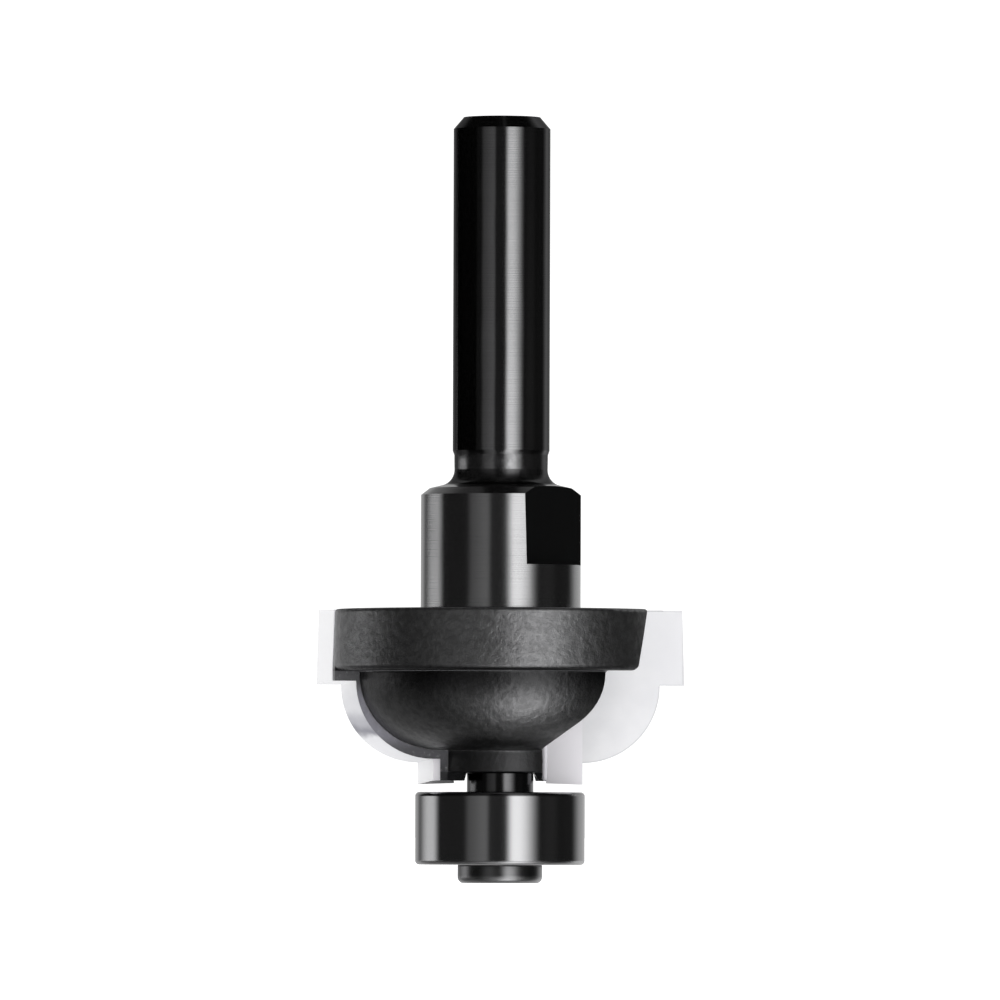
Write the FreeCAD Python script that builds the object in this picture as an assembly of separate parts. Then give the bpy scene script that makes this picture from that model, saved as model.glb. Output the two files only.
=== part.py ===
import FreeCAD, Part
import math
import os

# Router bit with a cove profile: a steel body with two carbide tips, and a ball bearing as its pilot.
# The axis is Z, the shank points up and the origin is on the axis, under the head of the pilot screw.
# All sizes are in millimetres.

# Pilot screw, from the bottom up
screw_head_diameter = 7.0
screw_head_height = 1.5
screw_head_rounding = 0.5
screw_head_top_rounding = 0.12
screw_shoulder_shortfall = 0.05
screw_relief_diameter = 2.4
screw_relief_length = 0.5
thread_diameter = 3.0
thread_length = 6.5
thread_end_chamfer = 0.4
hex_across_flats = 2.0
hex_depth = 1.6

# Pilot bearing
bearing_outer_diameter = 14.0
bearing_bore = 4.0
bearing_width = 6.0
outer_corner_rounding = 0.35
bore_corner_rounding = 0.15
ball_count = 7
ball_diameter = 2.5
groove_radius = 1.3
shoulder_wall = 1.65

# Bearing cage
cage_width = 0.9
cage_thickness = 0.2
rivet_diameter = 0.34
rivet_head_diameter = 0.6
rivet_head_height = 0.12

# Bearing shields and their snap rings
shield_seat_wall = 1.2
shield_seat_depth = 0.75
shield_thickness = 0.2
shield_dish = 0.25
shield_rim_width = 0.45
snap_wire_diameter = 0.3
snap_groove_depth = 0.2
snap_ring_opening_deg = 40.0

# Turned body, from the bottom up
boss_diameter = 5.5
boss_height = 1.6
boss_fillet = 0.2
neck_diameter = 10.4
neck_fillet = 0.2
bowl_fillet = 0.25
flange_height = 5.08
flange_lower_rounding = 0.45
flange_upper_rounding = 0.3
collar_diameter = 13.2
collar_height = 10.26
collar_foot_fillet = 0.15
collar_chamfer_width = 0.72
collar_chamfer_height = 0.56
collar_top_rise = 0.24
undercut_diameter = 7.68
undercut_height = 2.5
undercut_fillet = 1.3
undercut_draft = 0.03
undercut_taper_height = 0.35
shank_diameter = 8.0
shank_height = 30.4
shank_chamfer_width = 0.83
shank_chamfer_height = 0.97
tapped_hole_depth = 8.0
tapped_hole_mouth = 0.2

# Wrench flat on the collar
flat_distance = 5.4
flat_direction_deg = -36.0
flat_tilt_deg = 1.0
flat_height = 6.6

# Cutting profile of the tips
cutting_diameter = 30.34
cutting_edge_taper = 0.17
cove_radius = 6.35
land_radius = 6.8
land_height = 1.79
tooth_to_bearing = 0.63
step_fillet = 0.05
tip_top_drop = 0.05
tooth_dish = 0.22

# Carbide tips
tip_count = 2
tip_thickness = 1.5
rake_offset = 0.5
flank_relief = 1.28
end_relief = 0.3
tip_ledge = 0.35
tip_straight_height = 7.8
tip_top_ledge = 1.3

# Steel around the tips
body_inset = 1.23
bowl_curve_extra = 0.15
flange_rise = 1.19
flange_inset = 1.22
backing_thickness = 1.0
backing_land_inset = 1.87
backing_foot_gap = 0.19
relief_cone_width = 0.73

# Chip gashes
gash_floor = 3.45
gash_width = 8.75
gash_corner = 2.9
gash_floor_sweep = 3.6
gash_floor_straight = 8.8
gash_wall_lean = 1.57

# Clearances
running_clearance = 0.01
screw_bore_clearance = 0.01
thread_clearance = 0.02
cage_ball_clearance = 0.05
cage_rivet_clearance = 0.01
shield_edge_clearance = 0.02
shield_bore_clearance = 0.15
snap_ring_clearance = 0.01
cut_margin = 2.0

# Heights that follow from the sizes above
bearing_bottom = screw_head_height
bearing_middle = bearing_bottom + bearing_width / 2
bearing_top = bearing_bottom + bearing_width
neck_bottom = bearing_top + boss_height
tooth_bottom = bearing_top + tooth_to_bearing
cove_bottom = tooth_bottom + land_height
step_height = cove_bottom + cove_radius + step_fillet
flange_bottom = cove_bottom + cove_radius + flange_rise
bowl_bottom = flange_bottom - cove_radius - bowl_curve_extra
flange_top = flange_bottom + flange_height
tip_top = flange_top - tip_top_drop
collar_top = flange_top + collar_height
undercut_top = collar_top + undercut_height
shank_top = collar_top + shank_height

# Bearing diameters that follow from its rim and its bore
ball_pitch_diameter = (bearing_outer_diameter + bearing_bore) / 2
inner_shoulder_diameter = bearing_bore + 2 * shoulder_wall
outer_shoulder_diameter = bearing_outer_diameter - 2 * shoulder_wall
shield_seat_diameter = bearing_outer_diameter - 2 * shield_seat_wall

# Radii that follow from the sizes above
cutting_radius = cutting_diameter / 2
cove_outer_radius = land_radius + cove_radius
bowl_radius = cove_outer_radius - body_inset
flange_radius = cutting_radius - flange_inset
collar_radius = collar_diameter / 2
shank_radius = shank_diameter / 2
boss_radius = boss_diameter / 2
bearing_radius = bearing_outer_diameter / 2
bearing_bore_radius = bearing_bore / 2
ball_radius = ball_diameter / 2
pitch_radius = ball_pitch_diameter / 2
inner_shoulder_radius = inner_shoulder_diameter / 2
outer_shoulder_radius = outer_shoulder_diameter / 2
shield_seat_radius = shield_seat_diameter / 2
snap_groove_radius = snap_wire_diameter / 2 + snap_ring_clearance
screw_shoulder_radius = bearing_bore_radius - screw_bore_clearance
tip_inner_edge = gash_floor + tip_ledge
tip_back = rake_offset + tip_thickness
backing_back = tip_back + backing_thickness

axis = FreeCAD.Vector(0, 0, 1)
centre = FreeCAD.Vector(0, 0, 0)


def side(u, v):
    """A point of an outline in the XZ plane."""
    return FreeCAD.Vector(u, 0, v)


def end(u, v):
    """A point of an outline in the YZ plane."""
    return FreeCAD.Vector(0, u, v)


def plan(u, v):
    """A point of an outline in the XY plane."""
    return FreeCAD.Vector(u, v, 0)


def corner_arc(before, here, after, radius):
    """Start, middle and end of the arc that rounds one corner."""
    back = (before - here).normalize()
    ahead = (after - here).normalize()
    half = back.getAngle(ahead) / 2
    setback = radius / math.tan(half)
    middle = (back + ahead).normalize() * (radius / math.sin(half) - radius)
    return here + back * setback, here + middle, here + ahead * setback


def outline(place, corners):
    """A flat face with the given corners (u, v, rounding radius)."""
    points = [place(u, v) for u, v, _ in corners]
    arcs = []
    for i, (_, _, radius) in enumerate(corners):
        after = points[(i + 1) % len(points)]
        arcs.append(corner_arc(points[i - 1], points[i], after, radius) if radius else (points[i],) * 3)
    edges = []
    for i, (start, middle, finish) in enumerate(arcs):
        left = arcs[i - 1][2]
        if left.distanceToPoint(start) > 1e-6:
            edges.append(Part.LineSegment(left, start).toShape())
        if corners[i][2]:
            edges.append(Part.Arc(start, middle, finish).toShape())
    return Part.Face(Part.Wire(edges))


def turned(corners, angle=360):
    """A solid turned about Z from an outline of (radius, height, rounding)."""
    return outline(side, corners).revolve(centre, axis, angle)


def lifted(shape, height):
    shape.translate(FreeCAD.Vector(0, 0, height))
    return shape


def copies_round(shape, count):
    """The shape, and its copies spread evenly about Z."""
    return [shape.rotated(centre, axis, 360 * i / count) for i in range(count)]


def mirrored_down(shape):
    return shape.mirror(centre, axis)


def turned_blank():
    """The bar as it leaves the lathe: boss, neck, bowl, flange, collar, undercut and shank."""
    bowl_arc = cove_radius + bowl_curve_extra - bowl_fillet
    neck_radius = neck_diameter / 2
    undercut_radius = undercut_diameter / 2
    chamfer_top = collar_top - collar_top_rise
    cone_run = collar_radius - collar_chamfer_width - undercut_radius
    return turned([
        (0, bearing_top, 0),
        (boss_radius, bearing_top, 0),
        (boss_radius, neck_bottom, boss_fillet),
        (neck_radius, neck_bottom, neck_fillet),
        (neck_radius, bowl_bottom, neck_fillet),
        (bowl_radius, bowl_bottom, bowl_arc),
        (bowl_radius, flange_bottom, bowl_fillet),
        (flange_radius, flange_bottom, flange_lower_rounding),
        (flange_radius - cutting_edge_taper, flange_top, flange_upper_rounding),
        (collar_radius, flange_top, collar_foot_fillet),
        (collar_radius, chamfer_top - collar_chamfer_height, 0),
        (collar_radius - collar_chamfer_width, chamfer_top, 0),
        (undercut_radius, chamfer_top + collar_top_rise * cone_run, undercut_fillet),
        (undercut_radius + undercut_draft, undercut_top, 0),
        (shank_radius, undercut_top + undercut_taper_height, 0),
        (shank_radius, shank_top - shank_chamfer_height, 0),
        (shank_radius - shank_chamfer_width, shank_top, 0),
        (0, shank_top, 0),
    ])


def cutting_profile(inner, top):
    """The profile that the tips cut, closed by a vertical line at x = inner."""
    return outline(side, [
        (inner, tooth_bottom + tooth_dish, 0),
        (land_radius, tooth_bottom, 0),
        (land_radius, cove_bottom, 0),
        (cove_outer_radius, cove_bottom, cove_radius),
        (cove_outer_radius, step_height, step_fillet),
        (cutting_radius, step_height, 0),
        (cutting_radius - cutting_edge_taper, tip_top, 0),
        (cutting_radius - cutting_edge_taper, top, 0),
        (inner, top, 0),
    ])


def tip_blank():
    """The straight-sided block that a tip is ground from, and the seat that it is brazed into."""
    beyond = cutting_radius + cut_margin
    face = outline(side, [
        (tip_inner_edge, tooth_bottom - cut_margin, 0),
        (beyond, tooth_bottom - cut_margin, 0),
        (beyond, tip_top, 0),
        (gash_floor + gash_floor_sweep + tip_top_ledge, tip_top, 0),
        (tip_inner_edge, tooth_bottom + tip_straight_height, 0),
    ])
    face.translate(FreeCAD.Vector(0, rake_offset, 0))
    return face.extrude(FreeCAD.Vector(0, tip_thickness, 0))


def tip_seat():
    """The blank, open at the top of the flange."""
    above = tip_blank()
    above.translate(FreeCAD.Vector(0, 0, tip_top_drop))
    return tip_blank().fuse(above)


def carbide_tip():
    """One tip: the blank with its edges ground back behind the cutting face."""
    profile = cutting_profile(0, tip_top + cut_margin)
    profile.translate(FreeCAD.Vector(0, rake_offset, 0))
    ground = profile.extrude(FreeCAD.Vector(-flank_relief, tip_thickness, end_relief))
    return tip_blank().common(ground)


def flange_envelope():
    """The space inside the flange's side, carried on down to the bearing."""
    return turned([
        (0, bearing_top, 0),
        (flange_radius, bearing_top, 0),
        (flange_radius, flange_bottom, 0),
        (flange_radius - cutting_edge_taper, flange_top, 0),
        (0, flange_top, 0),
    ])


def backing_block():
    """The steel behind one tip, on the cutting profile moved in and up."""
    land = land_radius - backing_land_inset
    arc_side = cove_outer_radius - flank_relief
    edge = cutting_radius - flank_relief
    foot = boss_radius + backing_foot_gap
    face = outline(side, [
        (0, neck_bottom, 0),
        (boss_radius, neck_bottom, 0),
        (foot, tooth_bottom + end_relief, 0),
        (land, tooth_bottom + end_relief, 0),
        (land, cove_bottom + end_relief, 0),
        (arc_side, cove_bottom + end_relief, cove_radius),
        (arc_side, step_height + end_relief, step_fillet),
        (edge, step_height + end_relief, 0),
        (edge - cutting_edge_taper, flange_top - flange_upper_rounding, 0),
        (0, flange_top - flange_upper_rounding, 0),
    ])
    block = face.extrude(FreeCAD.Vector(0, backing_back, 0))
    return block.common(flange_envelope())


def sweep_radius(rise, run):
    """Radius of the arc that starts upright and moves sideways by run over the height rise."""
    return (rise * rise + run * run) / (2 * run)


def floor_prism():
    """The space outside the gash floor, which runs out in an arc under the collar."""
    start = bearing_top + gash_floor_straight
    rise = flange_top - start
    radius = sweep_radius(rise, gash_floor_sweep)
    half = math.asin(rise / radius) / 2
    middle = side(gash_floor + radius * (1 - math.cos(half)), start + radius * math.sin(half))
    low = side(gash_floor, bearing_top)
    knee = side(gash_floor, start)
    out = side(gash_floor + gash_floor_sweep, flange_top)
    over = side(gash_floor + gash_floor_sweep, flange_top + cut_margin)
    far_over = side(cutting_radius + cut_margin, flange_top + cut_margin)
    far_low = side(cutting_radius + cut_margin, bearing_top)
    edges = [
        Part.LineSegment(low, knee).toShape(),
        Part.Arc(knee, middle, out).toShape(),
        Part.LineSegment(out, over).toShape(),
        Part.LineSegment(over, far_over).toShape(),
        Part.LineSegment(far_over, far_low).toShape(),
        Part.LineSegment(far_low, low).toShape(),
    ]
    face = Part.Face(Part.Wire(edges))
    face.translate(FreeCAD.Vector(0, rake_offset, 0))
    return face.extrude(FreeCAD.Vector(0, -gash_width, 0))


def wall_prism():
    """The space between the cutting face and the far wall, which leans in beside the flange."""
    wall = rake_offset - gash_width
    over = flange_top + cut_margin
    lean = gash_wall_lean / flange_height
    face = outline(end, [
        (wall, bearing_top, 0),
        (wall, flange_bottom, 0),
        (wall + lean * (over - flange_bottom), over, 0),
        (rake_offset, over, 0),
        (rake_offset, bearing_top, 0),
    ])
    return face.extrude(FreeCAD.Vector(cutting_radius + cut_margin, 0, 0))


def gash():
    """The chip space in front of one tip."""
    wall = rake_offset - gash_width
    far = cutting_radius + cut_margin
    face = outline(plan, [
        (gash_floor, rake_offset, 0),
        (gash_floor, wall, gash_corner),
        (far, wall, 0),
        (far, rake_offset, 0),
    ])
    face.translate(FreeCAD.Vector(0, 0, bearing_top))
    column = face.extrude(FreeCAD.Vector(0, 0, flange_top + cut_margin - bearing_top))
    return column.common(floor_prism()).common(wall_prism())


def relief_cone():
    """The ring that is turned away between the boss and the feet of the teeth."""
    slope = relief_cone_width / (neck_bottom - tooth_bottom)
    return turned([
        (boss_radius, bearing_top, 0),
        (boss_radius + slope * (neck_bottom - bearing_top), bearing_top, 0),
        (boss_radius, neck_bottom, 0),
    ])


def wrench_flat():
    """The block that is milled off the side of the collar."""
    bottom = collar_top - flat_height
    length = flat_height + cut_margin
    block = Part.makeBox(collar_radius, collar_diameter, length, FreeCAD.Vector(0, -collar_radius, 0))
    block.rotate(centre, FreeCAD.Vector(0, 1, 0), -flat_tilt_deg)
    block.translate(FreeCAD.Vector(flat_distance, 0, bottom))
    floor = Part.makeBox(collar_diameter, collar_diameter, length, FreeCAD.Vector(0, -collar_radius, bottom))
    return block.common(floor).rotated(centre, axis, flat_direction_deg)


def tapped_hole():
    """The hole for the pilot screw, with a drilled point."""
    radius = thread_diameter / 2
    top = bearing_top + tapped_hole_depth
    return turned([
        (0, bearing_top, 0),
        (radius + tapped_hole_mouth, bearing_top, 0),
        (radius, bearing_top + tapped_hole_mouth, 0),
        (radius, top, 0),
        (0, top + radius * math.tan(math.radians(31)), 0),
    ])


def cutter_body():
    blocks = copies_round(backing_block(), tip_count)
    body = turned_blank().fuse(blocks)
    body = body.cut(copies_round(gash(), tip_count) + copies_round(tip_seat(), tip_count))
    body = body.cut([relief_cone(), wrench_flat(), tapped_hole()])
    return body.removeSplitter()


def hex_socket():
    radius = hex_across_flats / math.sqrt(3)
    corners = []
    for i in range(6):
        angle = math.radians(60 * i)
        corners.append((radius * math.cos(angle), radius * math.sin(angle), 0))
    prism = outline(plan, corners).extrude(FreeCAD.Vector(0, 0, hex_depth))
    point = Part.makeCone(hex_across_flats / 2, 0, hex_across_flats / 4, FreeCAD.Vector(0, 0, hex_depth))
    return prism.fuse(point)


def pilot_screw():
    """Low-head shoulder screw with a hexagon socket."""
    head = screw_head_diameter / 2
    relief = screw_relief_diameter / 2
    thread = thread_diameter / 2 - thread_clearance
    shoulder_top = bearing_top - screw_shoulder_shortfall
    relief_top = shoulder_top + screw_relief_length
    tip = relief_top + thread_length
    screw = turned([
        (0, 0, 0),
        (head, 0, screw_head_rounding),
        (head, screw_head_height, screw_head_top_rounding),
        (screw_shoulder_radius, screw_head_height, 0),
        (screw_shoulder_radius, shoulder_top, 0),
        (relief, shoulder_top, 0),
        (relief, relief_top, 0),
        (thread, relief_top + thread - relief, 0),
        (thread, tip - thread_end_chamfer, 0),
        (thread - thread_end_chamfer, tip, 0),
        (0, tip, 0),
    ])
    return screw.cut(hex_socket())


def ball_groove(side_of_balls):
    """The ring-shaped space that a ball groove is ground to: side 1 inside the balls, -1 outside."""
    shift = groove_radius - ball_radius - running_clearance
    return Part.makeTorus(pitch_radius + side_of_balls * shift, groove_radius)


def inner_ring():
    half = bearing_width / 2
    ring = turned([
        (bearing_bore_radius, -half, bore_corner_rounding),
        (inner_shoulder_radius, -half, bore_corner_rounding),
        (inner_shoulder_radius, half, bore_corner_rounding),
        (bearing_bore_radius, half, bore_corner_rounding),
    ])
    return lifted(ring.cut(ball_groove(1)), bearing_middle)


def snap_wire_radius():
    """Distance from the axis to the middle of the snap ring's wire."""
    return shield_seat_radius + snap_groove_depth - snap_wire_diameter / 2


def snap_wire_height():
    """Height of the snap ring's wire over the middle of the bearing."""
    shield_top = bearing_width / 2 - shield_seat_depth + shield_thickness
    return shield_top + snap_wire_diameter / 2 + snap_ring_clearance


def outer_ring():
    """Outer ring, with a round-floored groove for each snap ring."""
    half = bearing_width / 2
    floor = half - shield_seat_depth
    groove_low = snap_wire_height() - snap_groove_radius
    groove_high = snap_wire_height() + snap_groove_radius
    groove_floor = snap_wire_radius() + snap_groove_radius
    upper = [
        (bearing_radius, half, outer_corner_rounding),
        (shield_seat_radius, half, 0),
        (shield_seat_radius, groove_high, 0),
        (groove_floor, groove_high, snap_groove_radius),
        (groove_floor, groove_low, snap_groove_radius),
        (shield_seat_radius, groove_low, 0),
        (shield_seat_radius, floor, 0),
        (outer_shoulder_radius, floor, 0),
    ]
    lower = [(radius, -height, rounding) for radius, height, rounding in reversed(upper)]
    return lifted(turned(upper + lower).cut(ball_groove(-1)), bearing_middle)


def balls():
    ball = Part.makeSphere(ball_radius, FreeCAD.Vector(pitch_radius, 0, bearing_middle))
    return copies_round(ball, ball_count)


def cage_half():
    """Upper half of the ribbon cage: flat webs, and a half-round pocket over each ball."""
    pocket = ball_radius + cage_ball_clearance
    shell = pocket + cage_thickness
    low = pitch_radius - cage_width / 2
    high = pitch_radius + cage_width / 2
    web = Part.makeCylinder(high, cage_thickness).cut(Part.makeCylinder(low, cage_thickness))
    band = Part.makeCylinder(high, shell).cut(Part.makeCylinder(low, shell))
    spot = FreeCAD.Vector(pitch_radius, 0, 0)
    domes = [dome.common(band) for dome in copies_round(Part.makeSphere(shell, spot), ball_count)]
    hole = Part.makeCylinder(rivet_diameter / 2 + cage_rivet_clearance, shell, spot)
    holes = copies_round(hole.rotated(centre, axis, 180 / ball_count), ball_count)
    pockets = copies_round(Part.makeSphere(pocket, spot), ball_count)
    return web.fuse(domes).cut(pockets + holes).removeSplitter()


def cage_rivets():
    """The rivets between the pockets, with a flat head on both sides."""
    shaft = rivet_diameter / 2
    head = rivet_head_diameter / 2
    top = cage_thickness + rivet_head_height
    rivet = turned([
        (0, -top, 0),
        (head, -top, 0),
        (head, -cage_thickness, 0),
        (shaft, -cage_thickness, 0),
        (shaft, cage_thickness, 0),
        (head, cage_thickness, 0),
        (head, top, 0),
        (0, top, 0),
    ])
    rivet.translate(FreeCAD.Vector(pitch_radius, 0, bearing_middle))
    rivets = copies_round(rivet.rotated(centre, axis, 180 / ball_count), ball_count)
    return Part.makeCompound(rivets)


def shield():
    """Upper shield: a flat rim on its seat, and a middle that is dished outwards."""
    floor = bearing_width / 2 - shield_seat_depth
    top = floor + shield_thickness
    rim = shield_seat_radius - shield_edge_clearance
    step = rim - shield_rim_width
    bore = inner_shoulder_radius + shield_bore_clearance
    return turned([
        (rim, floor, 0),
        (rim, top, 0),
        (step, top, 0),
        (step - shield_dish, top + shield_dish, 0),
        (bore, top + shield_dish, 0),
        (bore, floor + shield_dish, 0),
        (step - shield_thickness - shield_dish / 2, floor + shield_dish, 0),
        (step - shield_thickness, floor, 0),
    ])


def snap_ring():
    """Upper snap ring: round wire with an opening to close it by."""
    ring = Part.Face(Part.Wire(Part.makeCircle(
        snap_wire_diameter / 2,
        side(snap_wire_radius(), snap_wire_height()),
        FreeCAD.Vector(0, 1, 0),
    )))
    return ring.revolve(centre, axis, 360 - snap_ring_opening_deg)


def pieces():
    """Every piece of the bit, by the name of its node."""
    found = {"cutter_body": cutter_body(), "pilot_screw": pilot_screw()}
    for i, tip in enumerate(copies_round(carbide_tip(), tip_count), 1):
        found[f"carbide_tip_{i}"] = tip
    found["bearing_inner_ring"] = inner_ring()
    found["bearing_outer_ring"] = outer_ring()
    for i, ball in enumerate(balls(), 1):
        found[f"ball_{i}"] = ball
    found["cage_rivets"] = cage_rivets()
    for name, make in (("cage", cage_half), ("shield", shield), ("snap_ring", snap_ring)):
        found[f"{name}_upper"] = lifted(make(), bearing_middle)
        found[f"{name}_lower"] = lifted(mirrored_down(make()), bearing_middle)
    return found


os.makedirs("parts", exist_ok=True)
for name, shape in pieces().items():
    shape.exportStep(f"parts/{name}.step")
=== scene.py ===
import bpy
import math
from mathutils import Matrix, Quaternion, Vector


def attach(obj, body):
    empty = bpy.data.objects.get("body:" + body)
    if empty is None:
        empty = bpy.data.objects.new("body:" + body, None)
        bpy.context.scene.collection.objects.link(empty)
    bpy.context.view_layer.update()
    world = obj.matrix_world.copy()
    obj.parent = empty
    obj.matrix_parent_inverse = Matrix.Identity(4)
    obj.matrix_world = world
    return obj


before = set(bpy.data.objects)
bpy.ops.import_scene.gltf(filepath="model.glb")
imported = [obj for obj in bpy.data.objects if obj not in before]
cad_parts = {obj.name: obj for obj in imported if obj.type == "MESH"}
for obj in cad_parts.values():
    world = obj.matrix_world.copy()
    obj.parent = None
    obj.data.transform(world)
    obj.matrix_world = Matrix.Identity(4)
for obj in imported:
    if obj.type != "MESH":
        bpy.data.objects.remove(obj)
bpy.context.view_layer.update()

# Router bit with a cove profile. The frame holds every piece in metres; this script gives each its finish
# and adds the beads of braze along the carbide tips. MM turns a size in millimetres into metres.
MM = 0.001

# Camera, at the viewing distance and height of the photo; it is held a little off level
PICTURE_WIDTH = 82.5 * MM
CAMERA_DISTANCE = 1100 * MM
CAMERA_HEIGHT = 4.4 * MM
CAMERA_SIDE = -0.08 * MM
CAMERA_ROLL = math.radians(0.18)
AIM_HEIGHT = 31.6 * MM
SENSOR_WIDTH = 36.0
NEAREST_SEEN = 0.01
FARTHEST_SEEN = 50.0

# All sizes from here on are in millimetres. The flange, and the centre of the circle that the bowl is
# turned to, as (radius, height)
FLANGE_BOTTOM = 17.46
FLANGE_TOP = 22.54
BOWL_CENTRE = (5.67, 17.21)

# Heights that part the finishes of the steel body and bound its painted shade, each with the softness of the
# edge
NECK_BOTTOM = (9.12, 0.02)
NECK_TOP = (10.9, 0.3)
CAVITY_BOTTOM = (15.76, 1.4)
BLOCK_TOP = (17.43, 0.02)
BOWL_TOP = (17.46, 0.03)
CAVITY_TOP = (17.5, 0.03)
RIM_TOP = (17.71, 0.2)
COLLAR_BOTTOM = (22.57, 0.02)
COLLAR_TOP = (32.8, 0.1)
UNDERCUT_BOTTOM = (33.0, 0.15)
UNDERCUT_TOP = (35.5, 0.15)

# Radii that part them and bound the painted shade, each with the softness of the edge; the last one is round
# the bowl's centre
BOSS_SIDE = (2.95, 0.03)
NECK_SIDE = (5.27, 0.05)
BLOCK_INNER_SIDE = (5.27, 0.03)
RIM_SIDE = (12.1, 0.2)
BOWL_SIDE = (6.31, 0.02)

# Wrench flat: direction of its normal, how nearly a face has to share it, its distance and its lower end
FLAT_NORMAL = (math.cos(math.radians(-36)), math.sin(math.radians(-36)), 0)
FLAT_FACING = (0.97, 0.01)
FLAT_DISTANCE = (5.2, 0.02)
FLAT_BOTTOM = (26.2, 0.02)

# Noise on the steel, as (grains to a millimetre, detail, roughness, stretch)
EVENLY = (1, 1, 1)
GRAIN = (11.0, 4.0, 0.65, EVENLY)
MOTTLE = (1.7, 4.0, 0.6, EVENLY)
CLOUD = (0.35, 2.0, 0.5, EVENLY)
WAVE = (0.45, 1.0, 0.5, (1, 1, 0.35))
RUBBING = (2.6, 5.0, 0.7, EVENLY)

# Ramps that turn the mottle into patches and the rubbing into specks, and the turning marks
PATCH_STOPS = [(0.36, 0.0), (0.64, 0.6)]
RUBBED_STOPS = [(0.56, 0.0), (0.72, 1.0)]
STEEL_MARKS_PER_MM = 14.0
MARKS_DETAIL = 4.0

# Colours of the steel, among them painted shade; a pair goes from the dark to the light part of the grain or
# the turning marks
COAT = ((0.21, 0.21, 0.214), (0.31, 0.31, 0.315))
COAT_PATCH = (0.40, 0.40, 0.407)
COAT_RUBBED = (0.4, 0.4, 0.4)
# Painted shade: a dark colour laid over the bowl under the flange
BOWL_PAINTED_SHADE = (0.05, 0.05, 0.051)
# Painted shade on the flange's lower rounded edge
RIM_PAINTED_SHADE = (0.045, 0.045, 0.047)
# Painted shade at the top of the bowl, just under the flange
CAVITY_PAINTED_SHADE = (0.03, 0.03, 0.031)
NECK_COLOUR = (0.12, 0.12, 0.123)
BLOCK_RUBBED = (0.42, 0.42, 0.43)
# Painted shade on the body under the neck
FOOT_PAINTED_SHADE = (0.03, 0.03, 0.032)
COLLAR_COLOUR = ((0.25, 0.25, 0.253), (0.33, 0.33, 0.334))
BOSS_COLOUR = (0.088, 0.088, 0.09)
SHANK_COLOUR = ((0.19, 0.19, 0.193), (0.22, 0.22, 0.223))
FLAT_COLOUR = (0.018, 0.018, 0.019)

# Bare backing blocks, by the height as a share of the flange's bottom
BLOCK_SHADES = [
    (0.5, (0.05, 0.05, 0.053)), (0.62, (0.10, 0.10, 0.108)), (0.71, (0.26, 0.255, 0.29)),
    (0.86, (0.24, 0.235, 0.27)), (0.96, (0.10, 0.10, 0.105)),
]

# How much of a colour is laid over the one below it
# Share of the painted shade laid over the bowl
BOWL_SHADE_SHARE = 0.3
COAT_RUBBED_SHARE = 0.3
# Share of the painted shade under the flange
CAVITY_SHADE_SHARE = 0.8
BLOCK_RUBBED_SHARE = 0.35

# Roughness of the steel, in pairs as the colours, its share of metal and its gloss at grazing angles
SATIN_ROUGH = (0.31, 0.45)
CLOUD_ROUGH = 0.4
NECK_ROUGH = 0.5
GROUND_ROUGH = (0.13, 0.19)
SHANK_ROUGH = (0.1, 0.14)
UNDERCUT_ROUGH = (0.17, 0.32)
FLAT_ROUGH = 0.55
COAT_METALLIC = 1.0
BLOCK_METALLIC = 0.45
GRAZING_GLOSS = (1.0, 1.0, 1.0)
SHANK_GRAZING_GLOSS = (0.3, 0.3, 0.3)

# Relief of the steel: its depth, and the weight of each pattern in it
STEEL_RELIEF = 0.018
GRAIN_WEIGHT = 0.45
MOTTLE_WEIGHT = 3.2
MARKS_WEIGHT = 0.1

# Foot of each tip, where the cutting face is painted paler as painted light
FOOT_LIGHT_SIDE = (6.8, 0.05)
FOOT_LIGHT_TOP = (13.4, 1.6)

# Cutting edge of the tips: the cove's arc round (radius, height), the step over it and the upright edge
COVE_CENTRE = (6.8, 16.27)
COVE_RADIUS = 6.35
COVE_TOP = (16.27, 0.02)
STEP_HEIGHT = 16.32
STEP_RADIUS = 13.15
CUTTING_RADIUS = 15.1
TIP_TOP = 22.49
EDGE_WIDTH = 0.09
EDGE_SOFTNESS = 0.03

# Carbide: its cutting face, greyer outwards with painted shade, and greyer along the cutting edge
CARBIDE_CLOUD = (0.5, 4.0, 0.5, EVENLY)
CARBIDE_GRAIN = (9.0, 3.0, 0.5, EVENLY)
FACE_COLOUR = ((0.80, 0.80, 0.825), (0.95, 0.95, 0.965))
# Painted shade on the outer part of the cutting face
FACE_OUTER_PAINTED_SHADE = (0.74, 0.74, 0.765)
FACE_OUTER_FROM = (12.5, 2.5)
FACE_OUTER_SHARE = 0.55
# Painted light: the paler colour at the foot of the cutting face
FACE_FOOT_PAINTED_LIGHT = (0.98, 0.96, 1.0)
FACE_EDGE_COLOUR = (0.55, 0.55, 0.57)
FACE_EDGE_SHARE = 0.5

# Its flanks are the faces whose normal has less than FLANK_FACING along Y. Their shades go by the height as
# a share of the flange's top, and the dark patch in the cove, a painted reflection, starts unevenly.
FLANK_FACING = (0.93, 0.03)
FLANK_UNEVENNESS = 1.6
# The dark stops in the middle are a painted reflection in the cove
FLANK_SHADES_WITH_PAINTED_REFLECTION = [
    (0.40, (0.80, 0.80, 0.81)), (0.475, (0.70, 0.70, 0.72)), (0.525, (0.66, 0.66, 0.68)),
    (0.555, (0.26, 0.26, 0.29)), (0.59, (0.40, 0.40, 0.43)), (0.65, (0.62, 0.62, 0.64)),
    (0.74, (0.74, 0.74, 0.75)),
]
CARBIDE_ROUGH = (0.38, 0.46)
CARBIDE_METALLIC = 0.12
CARBIDE_RELIEF = 0.001
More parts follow.
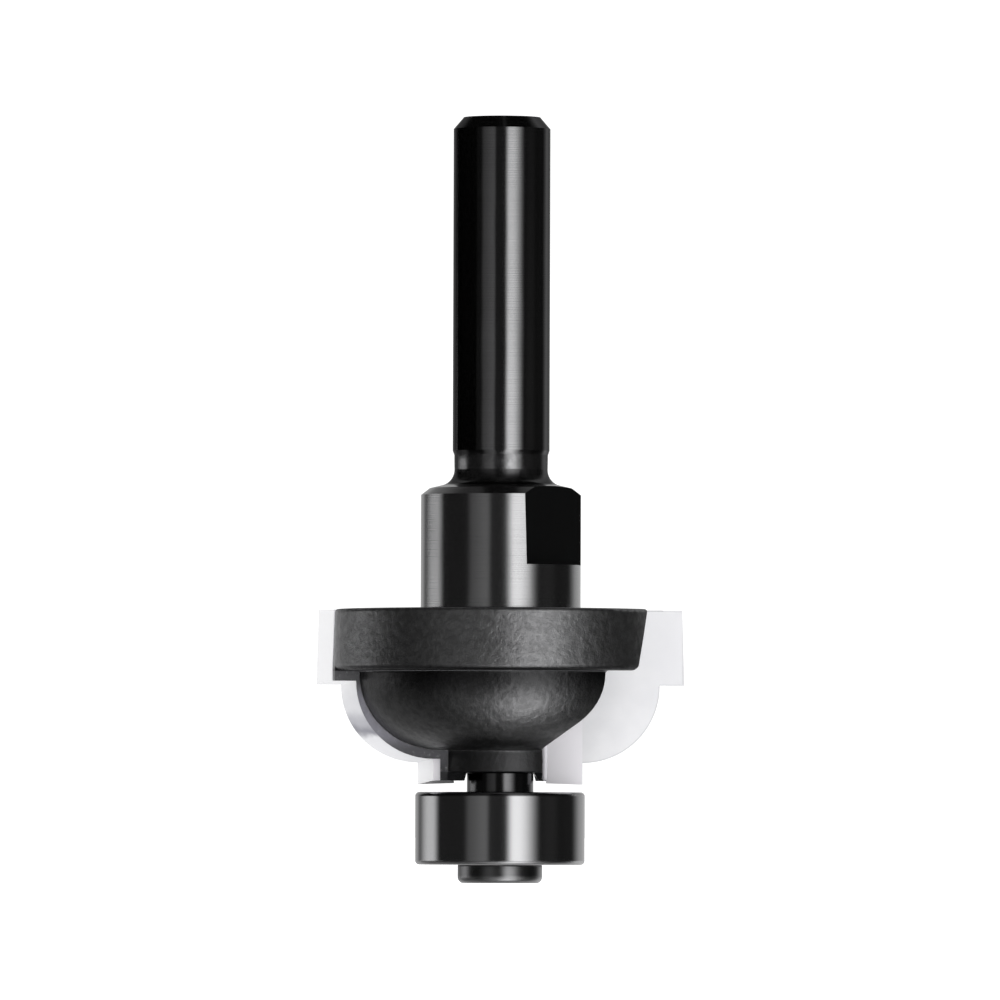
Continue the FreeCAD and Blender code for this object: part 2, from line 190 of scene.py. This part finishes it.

# Plain metals. Spread is how far colour and gloss vary, and under a given height the metal is painted paler:
# a painted highlight along its lower edge.
PLAIN_METALS = {
    "black_oxide": {"colour": (0.22, 0.22, 0.224), "rough": 0.3, "spread": 0.12, "marks_per_mm": 12,
                    "painted_light_under": 0.55},
    "ring_steel": {"colour": (0.28, 0.28, 0.284), "rough": 0.14, "spread": 0.08, "marks_per_mm": 18,
                   "relief": 0.0006, "painted_light_under": 1.8},
    "ball_steel": {"colour": (0.72, 0.72, 0.73), "rough": 0.06, "spread": 0.02, "relief": 0.0001},
    "cage_steel": {"colour": (0.55, 0.53, 0.5), "rough": 0.32, "spread": 0.08},
    "shield_steel": {"colour": (0.42, 0.42, 0.43), "rough": 0.26, "spread": 0.08},
    "spring_wire": {"colour": (0.3, 0.3, 0.31), "rough": 0.3, "spread": 0.08},
    "silver_braze": {"colour": (0.92, 0.90, 0.95), "rough": 0.42, "spread": 0.04, "relief": 0.006,
                     "metallic": 0.1, "grains_per_mm": 5.0},
}
PLAIN_NODES = {
    "black_oxide": ["pilot_screw"],
    "ring_steel": ["bearing_outer_ring", "bearing_inner_ring"],
    "ball_steel": [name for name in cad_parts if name.startswith("ball_")],
    "cage_steel": ["cage_upper", "cage_lower", "cage_rivets"],
    "shield_steel": ["shield_upper", "shield_lower"],
    "spring_wire": ["snap_ring_upper", "snap_ring_lower"],
}
PLAIN_DETAIL = 4.0
PLAIN_NOISE_ROUGH = 0.6
# Painted highlight along the lower edge: how much paler it is, its roughness and the softness of its top
PAINTED_LIGHT_BRIGHTER = 2.2
LOWER_EDGE_ROUGH = 0.42
LOWER_EDGE_SOFTNESS = 0.15

# Braze: the line that a bead follows in (x, z), the plane of the cutting face, and the bead's size
BEAD_LINE = [(3.655, 8.42), (3.655, 15.9), (8.2, 22.36)]
BEAD_PLANE = 0.5
BEAD_HALF_WIDTH = 0.2
BEAD_HEIGHT = 0.1
BEAD_SPACING = 0.12
BEAD_SIDES = 12
BEAD_END_LENGTH = 0.35
BEAD_END_BLUNTNESS = 0.02

# Swells of a bead, as (share of its size, pace from one station to the next, shift from bead to bead)
BEAD_SWELLS = [(0.08, 0.71, 1), (0.05, 0.23, 2)]

# White table top, and the even light on all that is matt
WHITE = (1, 1, 1, 1)
FLOOR_HALF_WIDTH = 6000.0
FLOOR_COLOUR = (0.9, 0.9, 0.9, 1)
FLOOR_ROUGH = 0.9
FLOOR_GLOW = 0.65
SOFT_STRENGTH = 1.17

# Black card close by the shank, which keeps the low soft boxes out of it; azimuths in degrees
BLACK = (0, 0, 0, 1)
CARD_AZIMUTHS = (-112, -52)
CARD_RADIUS = 12.0
CARD_HEIGHTS = (35.0, 72.0)
CARD_STEPS = 24

# Soft boxes that glossy steel mirrors, as (left edge, softness, right edge, softness, brightness, low):
# azimuths in degrees from the camera towards +X. A low one stands on the table, ends under the height that
# the shank mirrors, and keeps only a share of its light under the horizon.
SOFT_BOXES = [
    (-200, 4, -144, 10, 0.15, False),
    (-128, 17, -97, 7, 0.53, True),
    (-88, 5, -8, 5, 0.008, True),
    (-46, 5, -16, 3, 0.065, False),
    (-31, 12, -16, 3, 0.05, False),
    (-12, 6, 14, 4, 0.012, False),
    (12.5, 6, 40.5, 17, 1.0, False),
    (60, 8, 86, 10, 0.012, False),
    (92, 8, 130, 12, 0.005, False),
    (126, 12, 200, 4, 0.19, False),
]
LOW_BOX_TOP = (0.0274, 0.0012)
LOW_BOX_BOTTOM = (-0.12, 0.08)
SHARE_UNDER_HORIZON = 0.15
DARK = 0.004
MIRRORED_STRENGTH = 3.2

# Brightness of what is mirrored at each height: 0 is straight down, 0.5 level and 1 straight up
FRONT_LEVELS = [
    (0.0, 0.2), (0.015, 0.35), (0.065, 0.8), (0.13, 0.95), (0.2, 0.75), (0.28, 0.45), (0.38, 0.3),
    (0.45, 0.6), (0.485, 1.0), (0.53, 1.0), (0.6, 0.65), (0.75, 0.4), (0.88, 0.1), (0.95, 0.04), (1.0, 0.04),
]
REAR_LEVELS = [
    (0.0, 0.2), (0.2, 0.8), (0.36, 1.6), (0.48, 1.2), (0.53, 1.0), (0.62, 0.9), (0.8, 0.5), (1.0, 0.1),
]
REAR_AZIMUTH = (128, 12)

# The front levels fade between these two sines of elevation, which the shank mirrors
FADE_START = 0.034
FADE_END = 0.055
FADED = 0.4

# Sockets of a Mix node for numbers and for colours, as (low, high, result)
NUMBER_SOCKETS = (2, 3, 0)
COLOUR_SOCKETS = (6, 7, 2)


def new_material(name):
    """A material with its node tree and its shader."""
    material = bpy.data.materials.new(name)
    material.use_nodes = True
    tree = material.node_tree
    return material, tree, tree.nodes["Principled BSDF"]


def math_node(tree, operation, *values):
    """A Math node whose inputs are sockets or plain numbers."""
    node = tree.nodes.new("ShaderNodeMath")
    node.operation = operation
    for i, value in enumerate(values):
        if isinstance(value, (int, float)):
            node.inputs[i].default_value = value
        else:
            tree.links.new(value, node.inputs[i])
    return node.outputs[0]


def product(tree, *values):
    """The product of the values; of masks, where all of them hold."""
    result = values[0]
    for value in values[1:]:
        result = math_node(tree, "MULTIPLY", result, value)
    return result


def largest(tree, *values):
    """The largest of the values; of masks, where any of them holds."""
    result = values[0]
    for value in values[1:]:
        result = math_node(tree, "MAXIMUM", result, value)
    return result


def ramp_node(tree, value, stops):
    """A smooth ramp of greys or colours over the stops (position, colour)."""
    node = tree.nodes.new("ShaderNodeValToRGB")
    node.color_ramp.interpolation = "EASE"
    elements = node.color_ramp.elements
    while len(elements) < len(stops):
        elements.new(0.5)
    for element, (position, colour) in zip(elements, stops):
        element.position = position
        element.color = (*colour, 1) if isinstance(colour, tuple) else (colour, colour, colour, 1)
    tree.links.new(value, node.inputs[0])
    return node.outputs[0]


def over(tree, value, edge, softness):
    """0 under the edge and 1 over it."""
    node = tree.nodes.new("ShaderNodeMapRange")
    node.interpolation_type = "SMOOTHSTEP"
    node.inputs["From Min"].default_value = edge - softness
    node.inputs["From Max"].default_value = edge + softness
    tree.links.new(value, node.inputs["Value"])
    return node.outputs[0]


def under(tree, value, edge, softness):
    """1 under the edge and 0 over it."""
    return math_node(tree, "SUBTRACT", 1.0, over(tree, value, edge, softness))


def mix_node(tree, data_type, sockets, mask, low, high):
    """A Mix node from low to high; both may be sockets."""
    node = tree.nodes.new("ShaderNodeMix")
    node.data_type = data_type
    low_socket, high_socket, result = sockets
    tree.links.new(mask, node.inputs[0])
    for socket, value in ((low_socket, low), (high_socket, high)):
        if isinstance(value, tuple):
            node.inputs[socket].default_value = (*value, 1)
        elif isinstance(value, (int, float)):
            node.inputs[socket].default_value = value
        else:
            tree.links.new(value, node.inputs[socket])
    return node.outputs[result]


def blend(tree, mask, low, high):
    """The number low where the mask is 0 and high where it is 1."""
    return mix_node(tree, "FLOAT", NUMBER_SOCKETS, mask, low, high)


def blend_colour(tree, mask, low, high):
    """The colour low where the mask is 0 and high where it is 1."""
    return mix_node(tree, "RGBA", COLOUR_SOCKETS, mask, low, high)


def lay_over(tree, colour, mask, upper, share):
    """The colour with a share of the upper one laid over it where the mask holds."""
    return blend_colour(tree, product(tree, mask, share), colour, upper)


def surface_point(tree):
    """The surface point in millimetres on the piece itself, and the direction that the surface faces."""
    coordinate = tree.nodes.new("ShaderNodeTexCoord")
    scale = tree.nodes.new("ShaderNodeVectorMath")
    scale.operation = "SCALE"
    scale.inputs["Scale"].default_value = 1 / MM
    tree.links.new(coordinate.outputs["Object"], scale.inputs[0])
    return scale.outputs[0], coordinate.outputs["Normal"]


def parts_of(tree, vector):
    """The vector's X, Y and Z."""
    split = tree.nodes.new("ShaderNodeSeparateXYZ")
    tree.links.new(vector, split.inputs[0])
    return split.outputs["X"], split.outputs["Y"], split.outputs["Z"]


def length_node(tree, across, up):
    """The distance that is so far across and so far up."""
    squares = math_node(tree, "ADD", product(tree, across, across), product(tree, up, up))
    return math_node(tree, "SQRT", squares)


def height_and_radius(tree, point):
    """Height over the table and distance from the bit's axis."""
    x, y, z = parts_of(tree, point)
    return z, length_node(tree, x, y)


def distance_from(tree, height, radius, centre):
    """Distance from a centre given as (radius, height)."""
    across = math_node(tree, "SUBTRACT", radius, centre[0])
    up = math_node(tree, "SUBTRACT", height, centre[1])
    return length_node(tree, across, up)


def noise(tree, point, grains_per_mm, detail, rough, stretch):
    """Noise in space, stretched along the axes."""
    mapping = tree.nodes.new("ShaderNodeMapping")
    mapping.inputs["Scale"].default_value = stretch
    tree.links.new(point, mapping.inputs["Vector"])
    node = tree.nodes.new("ShaderNodeTexNoise")
    node.inputs["Scale"].default_value = grains_per_mm
    node.inputs["Detail"].default_value = detail
    node.inputs["Roughness"].default_value = rough
    tree.links.new(mapping.outputs[0], node.inputs["Vector"])
    return node.outputs["Fac"]


def turning_marks(tree, point, marks_per_mm):
    """Fine rings round Z, as a lathe or a grinding wheel leaves them, from 0 to 1."""
    line = tree.nodes.new("ShaderNodeTexNoise")
    line.noise_dimensions = "1D"
    line.inputs["Scale"].default_value = marks_per_mm
    line.inputs["Detail"].default_value = MARKS_DETAIL
    _, _, z = parts_of(tree, point)
    tree.links.new(z, line.inputs["W"])
    return line.outputs["Fac"]


def bump(tree, relief, shader, depth):
    """The relief on the shader, as deep as the given millimetres."""
    node = tree.nodes.new("ShaderNodeBump")
    node.inputs["Strength"].default_value = 1.0
    node.inputs["Distance"].default_value = depth * MM
    tree.links.new(relief, node.inputs["Height"])
    tree.links.new(node.outputs[0], shader.inputs["Normal"])


def reach_along(tree, vector, direction):
    """How far the vector reaches along the direction."""
    node = tree.nodes.new("ShaderNodeVectorMath")
    node.operation = "DOT_PRODUCT"
    node.inputs[1].default_value = direction
    tree.links.new(vector, node.inputs[0])
    return node.outputs["Value"]


def flat_mask(tree, point, normal, height):
    """1 on the wrench flat's face."""
    outside = over(tree, reach_along(tree, point, FLAT_NORMAL), *FLAT_DISTANCE)
    parallel = over(tree, reach_along(tree, normal, FLAT_NORMAL), *FLAT_FACING)
    above = over(tree, height, *FLAT_BOTTOM)
    return product(tree, outside, parallel, above, under(tree, height, *COLLAR_TOP))


def block_mask(tree, height, radius):
    """1 on the backing blocks, which stand out of the turned bowl."""
    outside = over(tree, distance_from(tree, height, radius, BOWL_CENTRE), *BOWL_SIDE)
    return product(tree, outside, over(tree, radius, *BLOCK_INNER_SIDE), under(tree, height, *BLOCK_TOP))


def steel_masks(tree, point, normal, height, radius):
    """Where each finish of the steel body lies."""
    low = under(tree, height, *NECK_BOTTOM)
    boss = product(tree, low, under(tree, radius, *BOSS_SIDE))
    return {
        "flat": flat_mask(tree, point, normal, height),
        "block": block_mask(tree, height, radius),
        "shank": over(tree, height, *COLLAR_TOP),
        "undercut": product(tree, over(tree, height, *UNDERCUT_BOTTOM), under(tree, height, *UNDERCUT_TOP)),
        "rim": product(tree, under(tree, height, *RIM_TOP), over(tree, radius, *RIM_SIDE)),
        "bowl": under(tree, height, *BOWL_TOP),
        "cavity": product(tree, over(tree, height, *CAVITY_BOTTOM), under(tree, height, *CAVITY_TOP)),
        "neck": product(tree, under(tree, height, *NECK_TOP), under(tree, radius, *NECK_SIDE)),
        # where the painted shade under the neck lies
        "foot": product(tree, low, over(tree, radius, *BOSS_SIDE)),
        "boss": boss,
        "ground": largest(tree, over(tree, height, *COLLAR_BOTTOM), boss),
    }


def steel_patterns(tree, point):
    """Grain, turning marks and wear of the steel body."""
    mottle = noise(tree, point, *MOTTLE)
    return {
        "grain": noise(tree, point, *GRAIN),
        "mottle": mottle,
        "patches": ramp_node(tree, mottle, PATCH_STOPS),
        "cloud": noise(tree, point, *CLOUD),
        "wave": noise(tree, point, *WAVE),
        "marks": turning_marks(tree, point, STEEL_MARKS_PER_MM),
        "rubbed": ramp_node(tree, noise(tree, point, *RUBBING), RUBBED_STOPS),
    }


def coat_colour(tree, masks, patterns):
    """Colour of the black coat on flange, bowl and neck, with painted shade on the bowl, on the flange's
    lower edge and under the flange.
    """
    coat = blend_colour(tree, patterns["grain"], *COAT)
    coat = blend_colour(tree, patterns["patches"], coat, COAT_PATCH)
    # Painted shade laid over the bowl under the flange
    coat = lay_over(tree, coat, masks["bowl"], BOWL_PAINTED_SHADE, BOWL_SHADE_SHARE)
    coat = lay_over(tree, coat, patterns["rubbed"], COAT_RUBBED, COAT_RUBBED_SHARE)
    # Painted shade on the flange's lower rounded edge
    coat = blend_colour(tree, masks["rim"], coat, RIM_PAINTED_SHADE)
    # Painted shade laid over the top of the bowl, under the flange
    coat = lay_over(tree, coat, masks["cavity"], CAVITY_PAINTED_SHADE, CAVITY_SHADE_SHARE)
    return blend_colour(tree, masks["neck"], coat, NECK_COLOUR)


def block_colour(tree, patterns, height):
    """Colour of the bare backing blocks."""
    shade = ramp_node(tree, product(tree, height, 1 / FLANGE_BOTTOM), BLOCK_SHADES)
    return lay_over(tree, shade, patterns["rubbed"], BLOCK_RUBBED, BLOCK_RUBBED_SHARE)


def steel_colour(tree, masks, patterns, height):
    """Colour of the steel body: the coat, and over it what is bare, turned or ground, and painted shade
    under the neck.
    """
    collar = blend_colour(tree, patterns["marks"], *COLLAR_COLOUR)
    shank = blend_colour(tree, patterns["marks"], *SHANK_COLOUR)
    colour = coat_colour(tree, masks, patterns)
    colour = blend_colour(tree, masks["block"], colour, block_colour(tree, patterns, height))
    # Painted shade under the neck
    colour = blend_colour(tree, masks["foot"], colour, FOOT_PAINTED_SHADE)
    colour = blend_colour(tree, masks["ground"], colour, collar)
    colour = blend_colour(tree, masks["boss"], colour, BOSS_COLOUR)
    colour = blend_colour(tree, masks["shank"], colour, shank)
    return blend_colour(tree, masks["flat"], colour, FLAT_COLOUR)


def steel_roughness(tree, masks, patterns):
    """Roughness of the steel body."""
    rough = blend(tree, patterns["grain"], *SATIN_ROUGH)
    rough = blend(tree, patterns["cloud"], rough, CLOUD_ROUGH)
    rough = blend(tree, masks["neck"], rough, NECK_ROUGH)
    rough = blend(tree, masks["ground"], rough, blend(tree, patterns["marks"], *GROUND_ROUGH))
    rough = blend(tree, masks["shank"], rough, blend(tree, patterns["marks"], *SHANK_ROUGH))
    rough = blend(tree, masks["undercut"], rough, blend(tree, patterns["patches"], *UNDERCUT_ROUGH))
    return blend(tree, masks["flat"], rough, FLAT_ROUGH)


def steel_relief(tree, masks, patterns):
    """Relief of the steel body: grain on the coat, turning marks on what is turned or ground."""
    coarse = math_node(tree, "ADD", product(tree, patterns["grain"], GRAIN_WEIGHT),
                       product(tree, patterns["mottle"], MOTTLE_WEIGHT))
    fine = math_node(tree, "ADD", product(tree, patterns["marks"], MARKS_WEIGHT), patterns["wave"])
    return blend(tree, masks["ground"], coarse, fine)


def body_steel():
    """Black coated steel: gloss on the shank, ground on collar and boss, grained on flange and bowl."""
    material, tree, shader = new_material("coated_steel")
    point, normal = surface_point(tree)
    height, radius = height_and_radius(tree, point)
    masks = steel_masks(tree, point, normal, height, radius)
    patterns = steel_patterns(tree, point)
    tree.links.new(steel_colour(tree, masks, patterns, height), shader.inputs["Base Color"])
    tree.links.new(blend(tree, masks["block"], COAT_METALLIC, BLOCK_METALLIC), shader.inputs["Metallic"])
    tree.links.new(steel_roughness(tree, masks, patterns), shader.inputs["Roughness"])
    grazing = blend_colour(tree, masks["shank"], GRAZING_GLOSS, SHANK_GRAZING_GLOSS)
    tree.links.new(grazing, shader.inputs["Specular Tint"])
    bump(tree, steel_relief(tree, masks, patterns), shader, STEEL_RELIEF)
    return material


def edge_mask(tree, height, radius):
    """1 along the ground cutting edge."""
    soft = EDGE_SOFTNESS
    from_centre = distance_from(tree, height, radius, COVE_CENTRE)
    arc = product(tree, over(tree, from_centre, COVE_RADIUS - EDGE_WIDTH, soft),
                  over(tree, radius, COVE_CENTRE[0], soft), under(tree, height, *COVE_TOP))
    step = product(tree, under(tree, height, STEP_HEIGHT + EDGE_WIDTH, soft),
                   over(tree, radius, STEP_RADIUS, soft))
    upright = over(tree, radius, CUTTING_RADIUS - EDGE_WIDTH, soft)
    top = over(tree, height, TIP_TOP - EDGE_WIDTH, soft)
    return largest(tree, arc, upright, step, top)


def face_colour(tree, height, radius, cloud):
    """Colour of a tip's cutting face and back, with painted shade outwards and painted light at the foot."""
    face = blend_colour(tree, cloud, *FACE_COLOUR)
    outward = over(tree, radius, *FACE_OUTER_FROM)
    # Painted shade laid over the outer part of the face
    face = lay_over(tree, face, outward, FACE_OUTER_PAINTED_SHADE, FACE_OUTER_SHARE)
    # Painted light at the foot of the face, near the body
    foot = product(tree, under(tree, radius, *FOOT_LIGHT_SIDE), under(tree, height, *FOOT_LIGHT_TOP))
    face = blend_colour(tree, foot, face, FACE_FOOT_PAINTED_LIGHT)
    return lay_over(tree, face, edge_mask(tree, height, radius), FACE_EDGE_COLOUR, FACE_EDGE_SHARE)


def flank_colour(tree, height, cloud):
    """Colour of a tip's flanks, with a painted reflection as the dark patch in the cove."""
    lowered = math_node(tree, "SUBTRACT", height, FLANK_UNEVENNESS / 2)
    uneven = math_node(tree, "MULTIPLY_ADD", cloud, FLANK_UNEVENNESS, lowered)
    return ramp_node(tree, math_node(tree, "DIVIDE", uneven, FLANGE_TOP), FLANK_SHADES_WITH_PAINTED_REFLECTION)


def carbide():
    """Ground carbide with a pale cutting face, and flanks with a dark patch in the cove that is a painted
    reflection.
    """
    material, tree, shader = new_material("carbide")
    point, normal = surface_point(tree)
    height, radius = height_and_radius(tree, point)
    _, facing, _ = parts_of(tree, normal)
    on_flank = under(tree, math_node(tree, "ABSOLUTE", facing), *FLANK_FACING)
    cloud = noise(tree, point, *CARBIDE_CLOUD)
    grain = noise(tree, point, *CARBIDE_GRAIN)
    face = face_colour(tree, height, radius, cloud)
    flank = flank_colour(tree, height, cloud)
    tree.links.new(blend_colour(tree, on_flank, face, flank), shader.inputs["Base Color"])
    tree.links.new(blend(tree, grain, *CARBIDE_ROUGH), shader.inputs["Roughness"])
    shader.inputs["Metallic"].default_value = CARBIDE_METALLIC
    bump(tree, grain, shader, CARBIDE_RELIEF)
    return material


def times(colour, factor):
    """The colour made darker or lighter, with no channel over 1."""
    return tuple(min(1.0, channel * factor) for channel in colour)


def plain_metal(name, colour, rough, spread, marks_per_mm=0, relief=0.002, metallic=1.0, grains_per_mm=6.0,
                painted_light_under=None):
    """A metal whose colour and gloss vary with its turning marks, or else with its grain."""
    material, tree, shader = new_material(name)
    point, _ = surface_point(tree)
    if marks_per_mm:
        pattern = turning_marks(tree, point, marks_per_mm)
    else:
        pattern = noise(tree, point, grains_per_mm, PLAIN_DETAIL, PLAIN_NOISE_ROUGH, EVENLY)
    base = blend_colour(tree, pattern, times(colour, 1 - spread), times(colour, 1 + spread))
    gloss = blend(tree, pattern, rough * (1 - spread), rough * (1 + spread))
    # Painted highlight: under the height the colour is painted paler
    if painted_light_under:
        height, _ = height_and_radius(tree, point)
        lit_lower_edge = under(tree, height, painted_light_under, LOWER_EDGE_SOFTNESS)
        base = blend_colour(tree, lit_lower_edge, base, times(colour, PAINTED_LIGHT_BRIGHTER))
        gloss = blend(tree, lit_lower_edge, gloss, LOWER_EDGE_ROUGH)
    tree.links.new(base, shader.inputs["Base Color"])
    tree.links.new(gloss, shader.inputs["Roughness"])
    shader.inputs["Metallic"].default_value = metallic
    bump(tree, pattern, shader, relief)
    return material


def give(material, names):
    """The named CAD nodes take the material."""
    for name in names:
        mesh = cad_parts[name].data
        mesh.materials.clear()
        mesh.materials.append(material)


def finish_nodes():
    """The finish of each CAD node."""
    give(body_steel(), ["cutter_body"])
    give(carbide(), ["carbide_tip_1", "carbide_tip_2"])
    for metal, names in PLAIN_NODES.items():
        give(plain_metal(metal, **PLAIN_METALS[metal]), names)


def new_object(name, vertices, faces, material):
    """A mesh object in the scene; its vertices are given in millimetres."""
    mesh = bpy.data.meshes.new(name)
    mesh.from_pydata([(x * MM, y * MM, z * MM) for x, y, z in vertices], [], faces)
    mesh.materials.append(material)
    made = bpy.data.objects.new(name, mesh)
    bpy.context.collection.objects.link(made)
    return made


def bead_stations():
    """Points (x, z) along a bead's line, each with its direction and its distance from the nearer end."""
    stations = []
    runs = list(zip(BEAD_LINE, BEAD_LINE[1:]))
    total = sum(math.dist(a, b) for a, b in runs)
    travelled = 0.0
    for a, b in runs:
        length = math.dist(a, b)
        count = round(length / BEAD_SPACING)
        direction = ((b[0] - a[0]) / length, (b[1] - a[1]) / length)
        last = count + 1 if b is BEAD_LINE[-1] else count
        for i in range(last):
            along = length * i / count
            place = (a[0] + direction[0] * along, a[1] + direction[1] * along)
            done = travelled + along
            stations.append((place, direction, min(done, total - done)))
        travelled += length
    return stations


def bead_vertices(stations, number):
    """Rings of points round the bead's line, a little uneven as flowed metal is."""
    vertices = []
    for i, ((x, z), (dx, dz), to_end) in enumerate(stations):
        short_of_full = max(0.0, 1 - to_end / BEAD_END_LENGTH)
        taper = math.sqrt(max(BEAD_END_BLUNTNESS, 1 - short_of_full ** 2))
        swell = 1 + sum(share * math.sin(pace * i + shift * number) for share, pace, shift in BEAD_SWELLS)
        half = BEAD_HALF_WIDTH * taper * swell
        rise = BEAD_HEIGHT * taper * swell
        for j in range(BEAD_SIDES):
            angle = 2 * math.pi * j / BEAD_SIDES
            across = half * math.cos(angle)
            vertices.append((x + dz * across, BEAD_PLANE - rise * math.sin(angle), z - dx * across))
    return vertices


def bead_faces(rings):
    """Faces between the rings, and one at each end."""
    sides = BEAD_SIDES
    faces = []
    for i in range(rings - 1):
        for j in range(sides):
            k = (j + 1) % sides
            faces.append((i * sides + j, i * sides + k, (i + 1) * sides + k, (i + 1) * sides + j))
    faces.append(tuple(reversed(range(sides))))
    faces.append(tuple(range((rings - 1) * sides, rings * sides)))
    return faces


def braze_bead(number, material):
    """The bead of silver braze along one tip's inner edge; the second lies half a turn from the first."""
    stations = bead_stations()
    turn = 1 if number == 1 else -1
    vertices = [(x * turn, y * turn, z) for x, y, z in bead_vertices(stations, number)]
    bead = new_object(f"braze_bead_{number}", vertices, bead_faces(len(stations)), material)
    polygons = bead.data.polygons
    polygons.foreach_set("use_smooth", [True] * len(polygons))
    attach(bead, "cutter")


def soft_box(tree, azimuth, left, left_softness, right, right_softness):
    """1 between the two azimuths, fading out at both."""
    begun = over(tree, azimuth, left, left_softness)
    ended = over(tree, azimuth, right, right_softness)
    return math_node(tree, "SUBTRACT", begun, ended)


def light_by_azimuth(tree, azimuth, rise):
    """The soft boxes round the bit, over the dark of the studio; rise is the sine of the elevation."""
    kept = largest(tree, over(tree, rise, *LOW_BOX_BOTTOM), SHARE_UNDER_HORIZON)
    low = product(tree, under(tree, rise, *LOW_BOX_TOP), kept)
    total = DARK
    for *edges, brightness, is_low in SOFT_BOXES:
        box = product(tree, soft_box(tree, azimuth, *edges), brightness)
        if is_low:
            box = product(tree, box, low)
        total = math_node(tree, "ADD", total, box)
    return total


def light_by_level(tree, azimuth, rise):
    """How bright the soft boxes are at each height, in front and behind."""
    level = math_node(tree, "MULTIPLY_ADD", rise, 0.5, 0.5)
    fade = tree.nodes.new("ShaderNodeMapRange")
    tree.links.new(rise, fade.inputs["Value"])
    fade.inputs["From Min"].default_value = FADE_START
    fade.inputs["From Max"].default_value = FADE_END
    fade.inputs["To Min"].default_value = 1.0
    fade.inputs["To Max"].default_value = FADED
    front = product(tree, ramp_node(tree, level, FRONT_LEVELS), fade.outputs[0])
    behind = over(tree, math_node(tree, "ABSOLUTE", azimuth), *REAR_AZIMUTH)
    return largest(tree, front, product(tree, behind, ramp_node(tree, level, REAR_LEVELS)))


def studio_light():
    """Even light all round for matt surfaces, and soft boxes in the dark for what is glossy."""
    world = bpy.data.worlds.new("studio")
    bpy.context.scene.world = world
    world.use_nodes = True
    tree = world.node_tree
    background = tree.nodes["Background"]
    coordinate = tree.nodes.new("ShaderNodeTexCoord")
    x, y, rise = parts_of(tree, coordinate.outputs["Generated"])
    azimuth = math_node(tree, "DEGREES", math_node(tree, "ARCTAN2", x, product(tree, y, -1.0)))
    mirrored = product(tree, light_by_azimuth(tree, azimuth, rise), light_by_level(tree, azimuth, rise),
                       MIRRORED_STRENGTH)
    paths = tree.nodes.new("ShaderNodeLightPath")
    strength = blend(tree, paths.outputs["Is Glossy Ray"], SOFT_STRENGTH, mirrored)
    tree.links.new(strength, background.inputs["Strength"])
    background.inputs["Color"].default_value = WHITE


def pale_floor():
    """A wide white table top; what is glossy reflects the light below the horizon in its place."""
    material, _, shader = new_material("floor_white")
    shader.inputs["Base Color"].default_value = FLOOR_COLOUR
    shader.inputs["Roughness"].default_value = FLOOR_ROUGH
    shader.inputs["Specular IOR Level"].default_value = 0.0
    shader.inputs["Emission Color"].default_value = WHITE
    shader.inputs["Emission Strength"].default_value = FLOOR_GLOW
    half = FLOOR_HALF_WIDTH
    corners = [(-half, -half, 0), (half, -half, 0), (half, half, 0), (-half, half, 0)]
    floor = new_object("floor", corners, [(0, 1, 2, 3)], material)
    floor.visible_glossy = False


def black_card():
    """The card by the shank: only glossy steel sees it."""
    material, _, shader = new_material("card_black")
    shader.inputs["Base Color"].default_value = BLACK
    shader.inputs["Specular IOR Level"].default_value = 0.0
    first, last = CARD_AZIMUTHS
    vertices = []
    for i in range(CARD_STEPS + 1):
        angle = math.radians(first + (last - first) * i / CARD_STEPS)
        x = CARD_RADIUS * math.sin(angle)
        y = -CARD_RADIUS * math.cos(angle)
        vertices += [(x, y, height) for height in CARD_HEIGHTS]
    faces = [(2 * i, 2 * i + 1, 2 * i + 3, 2 * i + 2) for i in range(CARD_STEPS)]
    card = new_object("black_card", vertices, faces, material)
    card.visible_camera = False
    card.visible_diffuse = False
    card.visible_shadow = False


def photo_camera():
    """A long lens from the photo's side, a little over the table."""
    data = bpy.data.cameras.new("camera")
    data.sensor_width = SENSOR_WIDTH
    data.lens = SENSOR_WIDTH * CAMERA_DISTANCE / PICTURE_WIDTH
    data.clip_start = NEAREST_SEEN
    data.clip_end = FARTHEST_SEEN
    camera = bpy.data.objects.new("camera", data)
    camera.location = (CAMERA_SIDE, -CAMERA_DISTANCE, CAMERA_HEIGHT)
    aim = Vector((CAMERA_SIDE, 0, AIM_HEIGHT)) - camera.location
    level = aim.to_track_quat("-Z", "Y")
    camera.rotation_euler = (level @ Quaternion((0, 0, 1), CAMERA_ROLL)).to_euler()
    bpy.context.collection.objects.link(camera)
    bpy.context.scene.camera = camera
    bpy.context.scene.view_settings.view_transform = "Standard"


photo_camera()
pale_floor()
studio_light()
black_card()
finish_nodes()
silver = plain_metal("silver_braze", **PLAIN_METALS["silver_braze"])
for number in (1, 2):
    braze_bead(number, silver)

bpy.context.view_layer.update()
